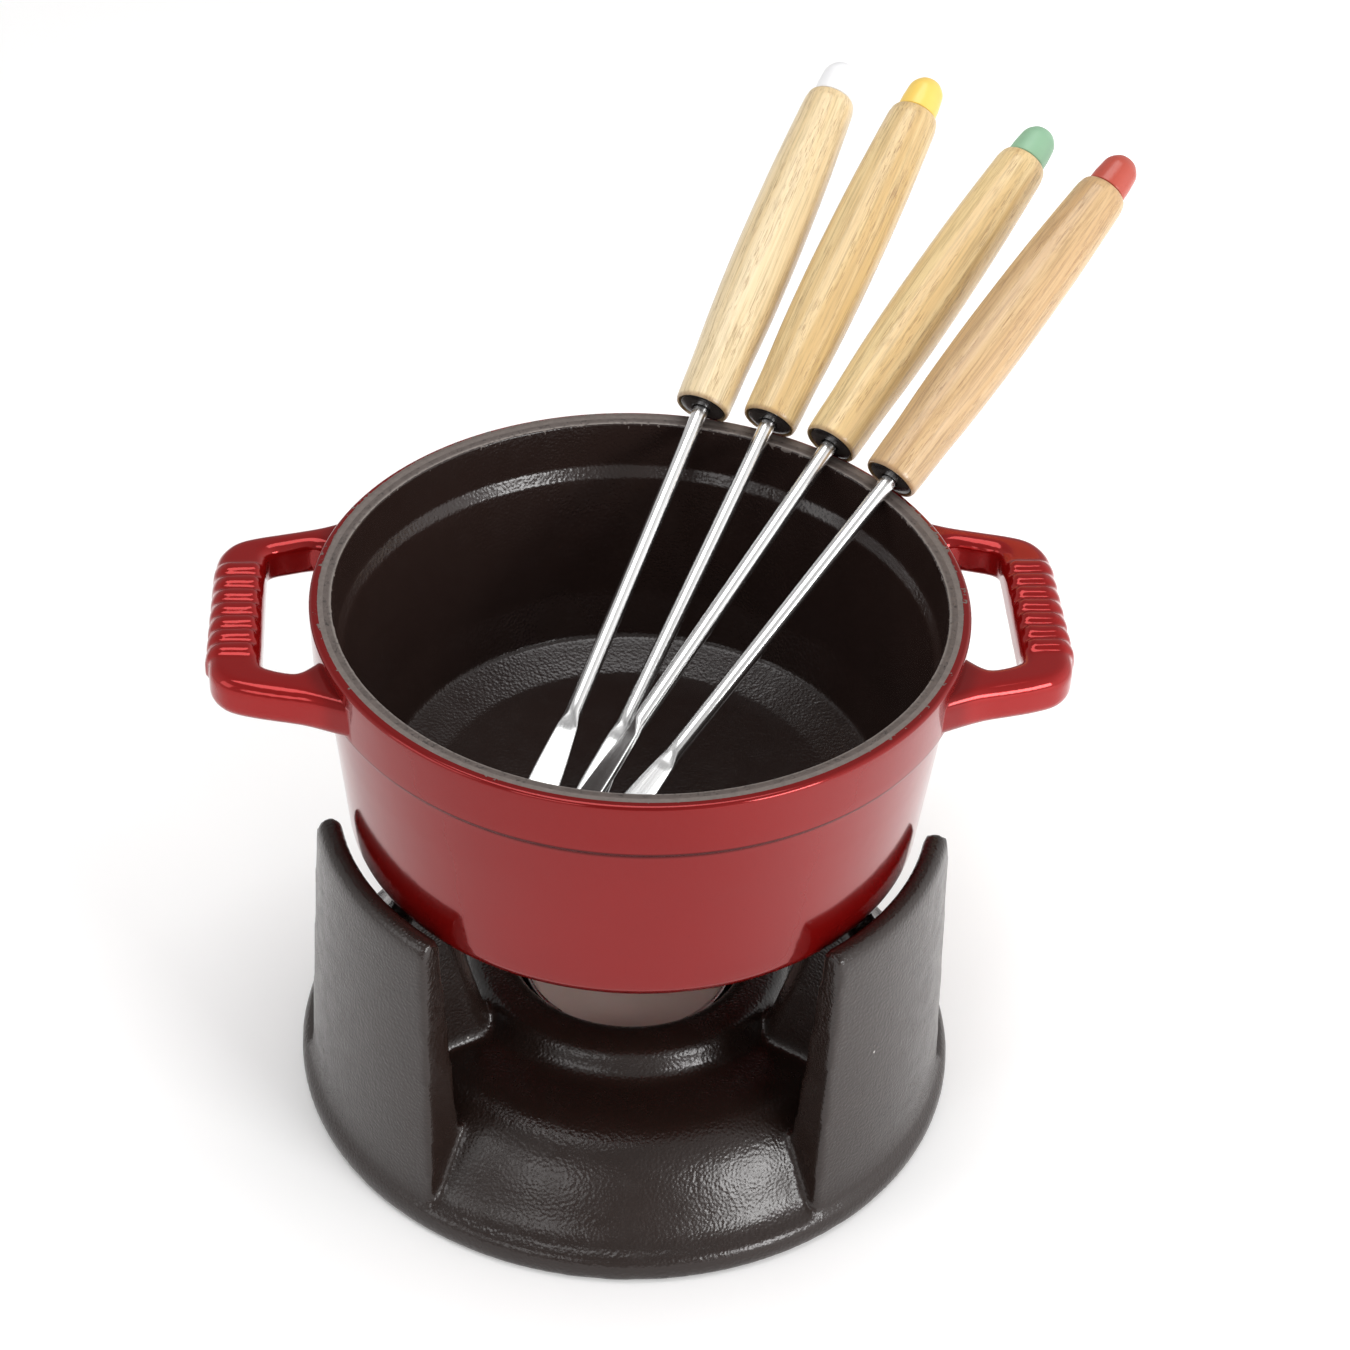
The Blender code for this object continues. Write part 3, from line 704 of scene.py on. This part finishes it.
def pot_handle(index, turn):
    """A loop handle with grip ridges across it. The left one is the right one's mirror image, turned."""
    side = 1.0 if abs(turn) < 90.0 else -1.0
    flat = spline([(i[0], side * i[1], o[0], side * o[1]) for i, o in HANDLE_STATIONS], 4)
    spin = Matrix.Rotation(math.radians(turn), 4, "Z")
    sections = []
    for a, b, c, d in flat:
        sections.append([tuple(spin @ Vector(point)) for point in bar_section((a, b), (c, d))])
    handle = loft(f"handle_{index}", sections)
    ridges = []
    low = HANDLE_HIGH - 1.0
    high = HANDLE_HIGH + 0.75
    foot = [(-1.3, low, 0.0), (1.3, low, 0.0)]
    outline = rounded(foot + [(1.15, high, 0.55), (-1.15, high, 0.55), foot[0]], 30.0)[:-1]
    for place in range(-RIDGES_EACH_WAY, RIDGES_EACH_WAY + 1):
        middle = RIDGE_PITCH * place
        sections = []
        for u, shrink, sink in RIDGE_RUN:
            ring = []
            for v, z in outline:
                lowered = z - sink - shrink if z > HANDLE_HIGH else z - sink
                ring.append(tuple(spin @ Vector((u, middle + v * (1.0 - 0.35 * shrink), lowered))))
            sections.append(ring)
        ridges.append(loft(f"ridge_{index}_{place}", sections))
    combine(handle, ridges, "UNION")
    melt(handle, 0.42, 5)
    return handle


def make_pot():
    outside = rounded(
        [
            (0.0, POT_BASE, 0.0), (37.1, POT_BASE, 1.4), (37.1, POT_BOTTOM, 0.3),
            (49.55, POT_BOTTOM, 3.4), (50.9, 70.0, 30.0), (52.3, 83.0, 30.0), (53.25, 92.5, 0.9),
            (54.95, 93.3, 0.9), (55.35, RIM_TOP, 1.5), (53.9, RIM_TOP, 0.0),
        ],
        8.0,
        2.0,
    )
    top = [(53.0, RIM_TOP + 0.02), (52.3, RIM_TOP)]
    inside = rounded(
        [
            (52.2, RIM_TOP - 0.02, 0.0), (51.5, RIM_TOP - 0.15, 0.5), (51.15, 94.8, 1.7),
            (49.85, 92.9, 2.0), (48.3, 82.0, 30.0), (46.7, 69.5, 9.0), (43.9, 61.3, 1.6),
            (35.8, POT_FLOOR, 3.5), (0.0, POT_FLOOR, 0.0),
        ],
        8.0,
        2.0,
    )
    pot = revolve("enamelled_pot", outside + top + inside, 256)
    # Faces take red enamel outside, black enamel inside, and bare iron on the rim's top.
    for polygon in pot.data.polygons:
        x, y, z = polygon.center / MM
        reach = math.hypot(x, y)
        polygon.material_index = 0
        if z > 58.0 and reach < 48.0 + 0.135 * (z - 63.0):
            polygon.material_index = 1
        if z > RIM_TOP - 0.3 and 51.7 < reach < 53.3:
            polygon.material_index = 2
    for _ in range(3):
        pot.data.materials.append(None)
    handles = [pot_handle(0, HANDLE_TURN), pot_handle(1, HANDLE_TURN + 180.0)]
    combine(pot, handles, "UNION")
    kept = [polygon.material_index for polygon in pot.data.polygons]
    finish_piece(pot, [red_enamel(), black_interior(), bare_rim()], "pot", "pot")
    pot.data.polygons.foreach_set("material_index", kept)
    smooth_shade(pot, 50.0)


# ---------------------------------------------------------------- tealight

CUP_BASE = RECESS_FLOOR + 0.3
FLUTES = 36
FLUTE_DEPTH = 0.09
WICK_SIDES = 20
WICK_SPANS = 28


def make_tealight():
    base = CUP_BASE

    def flutes(turn, radius, height):
        """Shallow flutes in the cup's side, which fade out towards its bottom and its rim."""
        above = max(0.0, min(1.0, (height - base - 1.0) / 3.0))
        below = max(0.0, min(1.0, (base + 14.0 - height) / 3.0))
        return radius + FLUTE_DEPTH * above * below * math.cos(FLUTES * turn)

    cup = revolve(
        "foil_cup",
        rounded(
            [
                (0.0, base, 0.0), (18.4, base, 1.0), (18.8, base + 13.7, 0.3), (19.25, base + 14.2, 0.3),
                (19.25, base + 15.0, 0.35), (18.45, base + 15.0, 0.3), (18.3, base + 13.8, 0.3),
                (17.95, base + 0.5, 0.6), (0.0, base + 0.5, 0.0),
            ],
            20.0,
            1.2,
        ),
        216,
        wobble=flutes,
    )
    finish_piece(cup, [cup_foil()], "tealight", "tealight_cup")
    foot_base = base + 0.8
    foot = revolve(
        "wick_foot",
        rounded(
            [
                (1.2, foot_base, 0.0), (6.0, foot_base, 0.15), (6.0, foot_base + 0.4, 0.15),
                (1.9, foot_base + 0.4, 0.3), (1.7, foot_base + 2.6, 0.2), (1.2, foot_base + 2.6, 0.0),
            ],
            20.0,
        ),
        64,
        closed=True,
    )
    finish_piece(foot, [sustainer_steel()], "tealight", "wick_sustainer")
    wax_top = base + 13.2
    candle = revolve(
        "wax_block",
        rounded(
            [
                (6.35, foot_base, 0.0), (16.9, foot_base, 0.4), (17.6, foot_base + 0.9, 0.4),
                (18.0, wax_top - 0.2, 0.3), (17.4, wax_top + 0.05, 0.5), (14.0, wax_top - 0.1, 6.0),
                (4.0, wax_top - 0.2, 2.0), (1.35, wax_top + 0.1, 0.3), (1.35, foot_base + 3.0, 0.0),
                (2.3, foot_base + 2.9, 0.0), (2.3, foot_base + 0.75, 0.0), (6.35, foot_base + 0.75, 0.0),
            ],
            15.0,
            1.0,
        ),
        120,
        closed=True,
    )
    finish_piece(candle, [wax()], "tealight", "tealight_wax")
    # The wick is a three-stranded plait that leans over above the wax and tapers at its tip.
    sections = []
    for place in range(WICK_SPANS + 1):
        share = place / WICK_SPANS
        height = foot_base + 0.1 + share * (wax_top + 5.9 - foot_base)
        lean = 0.9 * max(0.0, (height - wax_top) / 6.0) ** 2
        ring = []
        for step in range(WICK_SIDES):
            turn = 2.0 * math.pi * step / WICK_SIDES
            radius = 0.82 + 0.05 * math.cos(3.0 * (turn - 9.0 * share))
            if share > 0.92:
                radius *= 1.0 - 0.55 * (share - 0.92) / 0.08
            x = radius * math.cos(turn) + 0.6 * lean
            y = radius * math.sin(turn) - 0.5 * lean
            ring.append((x, y, height))
        sections.append(ring)
    wick = loft("cotton_wick", sections)
    finish_piece(wick, [wick_cotton()], "tealight", "tealight_wick")


# ---------------------------------------------------------------- forks

SHAFT = 1.45
SHAFT_REST = 1.5
SHAFT_LENGTH = 62.9
SHAFT_SIDES = 48
TANG_END = 30.0
HEAD_LENGTH = 29.0
TINE_LENGTH = 6.7
SLOT_RADIUS = 0.95
BORE = 1.65
COLLAR = 2.1
COLLAR_THICKNESS = 0.9
GAP = 0.3
WOOD_LENGTH = 67.5
CAP_PLUG = 5.5


def direction(slope, heading):
    slope = math.radians(slope)
    heading = math.radians(heading)
    level = math.cos(slope)
    return Vector((level * math.cos(heading), level * math.sin(heading), math.sin(slope)))


def frame_along(axis, roll):
    """A rotation that turns Z to the axis, with X level before the roll."""
    level = Vector((0.0, 0.0, 1.0)).cross(axis).normalized()
    turn = Matrix((level, axis.cross(level), axis)).transposed().to_4x4()
    return turn @ Matrix.Rotation(math.radians(roll), 4, "Z")


def steel_fork(name, matrix, lean):
    """Round shaft, hammered flat into a two-tined head. Its tang follows the grip's lean."""
    neck = COLLAR - SHAFT_LENGTH
    tip = neck - HEAD_LENGTH
    # Stations along the fork: (place, half width, half thickness, how flat its section is, 0 to 1).
    round_places = (COLLAR + TANG_END, COLLAR + 1.0, COLLAR - 0.5, COLLAR - 20.0, COLLAR - 40.0)
    round_places += (neck + 3.0, neck + 0.8)
    stations = [(place, SHAFT, SHAFT, 0.0) for place in round_places]
    stations += [
        (neck + 0.1, 1.46, 1.18, 0.25), (neck - 0.7, 1.60, 0.90, 0.55), (neck - 1.5, 1.76, 0.66, 0.8),
        (neck - 2.1, 1.86, 0.5, 1.0), (neck - 3.4, 2.02, 0.5, 1.0), (neck - 5.0, 2.2, 0.5, 1.0),
        (neck - 7.0, 2.4, 0.5, 1.0), (neck - 9.0, 2.6, 0.5, 1.0), (neck - 11.0, 2.78, 0.5, 1.0),
        (neck - 14.5, 3.0, 0.5, 1.0), (neck - 18.0, 3.2, 0.5, 1.0), (tip + 2.4, 3.0, 0.45, 1.0),
        (tip + 1.2, 2.65, 0.38, 1.0), (tip + 0.4, 2.25, 0.3, 1.0), (tip, 1.9, 0.25, 1.0),
    ]
    sections = []
    for z, half_width, half_thick, flat in stations:
        power = 1.0 - 0.72 * flat
        reach = max(0.0, z - COLLAR - 1.0)
        ring = []
        for step in range(SHAFT_SIDES):
            turn = 2.0 * math.pi * (step + 0.5) / SHAFT_SIDES
            x = math.copysign(abs(math.cos(turn)) ** power, math.cos(turn)) * half_width
            y = math.copysign(abs(math.sin(turn)) ** power, math.sin(turn)) * half_thick
            ring.append((x + lean[0] * reach, y + lean[1] * reach, z))
        sections.append(ring)
    fork = loft(name, sections)
    slot_centre = tip + TINE_LENGTH - SLOT_RADIUS
    outline = [(-1.2, tip - 1.0), (1.2, tip - 1.0)]
    for angle in range(0, 181, 20):
        turn = math.radians(angle)
        outline.append((SLOT_RADIUS * math.cos(turn), slot_centre + SLOT_RADIUS * math.sin(turn)))
    slot = loft(f"{name}_slot", [[(x, y, z) for x, z in outline] for y in (-2.0, 2.0)])
    combine(fork, [slot], "DIFFERENCE")
    fork.matrix_world = matrix
    smooth_shade(fork, 32.0)
    return fork


def make_fork(colour, caps, steel, collar_look, woods):
    """The four pieces of one fork. Z runs along it, up from the collar's face in the grip's frame."""
    rim_angle, slope, heading, roll, bend = FORKS[colour]
    body = f"fork_{colour}"
    height = RIM_TOP - 0.1 + SHAFT_REST / math.cos(math.radians(slope))
    rim = math.radians(rim_angle)
    anchor = Vector((RIM_INNER * math.cos(rim), RIM_INNER * math.sin(rim), height))
    axis = direction(slope, heading)
    grip_axis = direction(slope, heading + bend)
    shaft_frame = Matrix.Translation(anchor * MM) @ frame_along(axis, roll)
    grip_frame = Matrix.Translation((anchor + axis * COLLAR) * MM) @ frame_along(grip_axis, 0.0)
    lean = frame_along(axis, roll).to_3x3().inverted() @ grip_axis
    fork = steel_fork(f"{body}_shaft_and_head", shaft_frame, (lean.x / lean.z, lean.y / lean.z))
    finish_piece(fork, [steel], body, f"{body}_steel")

    collar = revolve(
        f"{body}_end_ring",
        rounded(
            [
                (BORE, 0.12, 0.0), (1.9, 0.0, 0.1), (3.1, 0.06, 2.0), (4.15, 0.3, 0.35),
                (4.15, COLLAR_THICKNESS, 0.1), (BORE, COLLAR_THICKNESS, 0.0),
            ],
            12.0,
            0.5,
        ),
        72,
        closed=True,
        matrix=grip_frame,
    )
    finish_piece(collar, [collar_look], body, f"{body}_collar")
    smooth_shade(collar, 40.0)

    start = COLLAR_THICKNESS + GAP
    end = start + WOOD_LENGTH
    socket = end - CAP_PLUG
    bore_end = TANG_END + GAP
    bore_line = [(0.0, bore_end), (BORE, bore_end), (BORE, start)]
    shape = spline(
        [
            (5.0, 1.15), (5.04, 2.6), (5.1, 4.8), (5.2, 9.5), (5.6, 19.0), (5.78, 29.0), (5.74, 39.0),
            (5.52, 50.0), (5.15, 59.0), (4.8, 66.0), (4.62, end - 1.4),
        ],
        5,
    )
    collar_seat = [(4.45, start), (4.45, 0.3)]
    lip = [(4.52, 0.16), (4.66, 0.14), (4.82, 0.3), (4.93, 0.62)]
    far_edge = [(4.5, end - 0.75), (4.28, end - 0.3), (4.05, end - 0.08), (3.8, end), (3.55, end)]
    cap_socket = [(3.55, socket), (0.0, socket)]
    profile = bore_line + collar_seat + lip + shape + far_edge + cap_socket
    wood = revolve(f"{body}_wooden_grip", profile, 96, matrix=grip_frame)
    finish_piece(wood, [woods[colour]], body, f"{body}_handle")
    smooth_shade(wood, 50.0)

    dome = rounded(
        [
            (0.0, socket + GAP, 0.0), (3.2, socket + GAP, 0.0), (3.2, end + 0.2, 0.0),
            (3.72, end + 0.25, 0.25), (3.66, end + 2.4, 4.0), (3.3, end + 5.6, 3.0),
            (1.9, end + 7.4, 2.2), (0.0, end + 7.5, 0.0),
        ],
        8.0,
        0.7,
    )
    cap = revolve(f"{body}_colour_cap", dome, 64, matrix=grip_frame)
    finish_piece(cap, [caps[colour]], body, f"{body}_cap")
    smooth_shade(cap, 50.0)


def make_forks():
    caps = {
        "white": plastic("plastic_white", (0.86, 0.86, 0.87), 0.28),
        "yellow": plastic("plastic_yellow", (0.90, 0.62, 0.13), 0.28),
        "green": plastic("plastic_green", (0.27, 0.48, 0.31), 0.42),
        "red": plastic("plastic_red", (0.47, 0.075, 0.050), 0.26),
    }
    woods = {
        "white": fork_wood("palest", 0.11, (0.80, 0.655, 0.42), (0.72, 0.545, 0.30)),
        "yellow": fork_wood("golden", 0.37, (0.74, 0.565, 0.295), (0.62, 0.42, 0.185)),
        "green": fork_wood("honey", 0.73, (0.77, 0.59, 0.305), (0.66, 0.45, 0.20)),
        "red": fork_wood("straw", 1.19, (0.64, 0.45, 0.245), (0.54, 0.335, 0.155)),
    }
    steel = fork_steel()
    collar_look = plastic("plastic_black_collar", (0.020, 0.016, 0.015), 0.25)
    for colour in FORKS:
        make_fork(colour, caps, steel, collar_look, woods)


make_camera()
make_studio()
make_floor()
make_stand()
make_pot()
make_tealight()
make_forks()
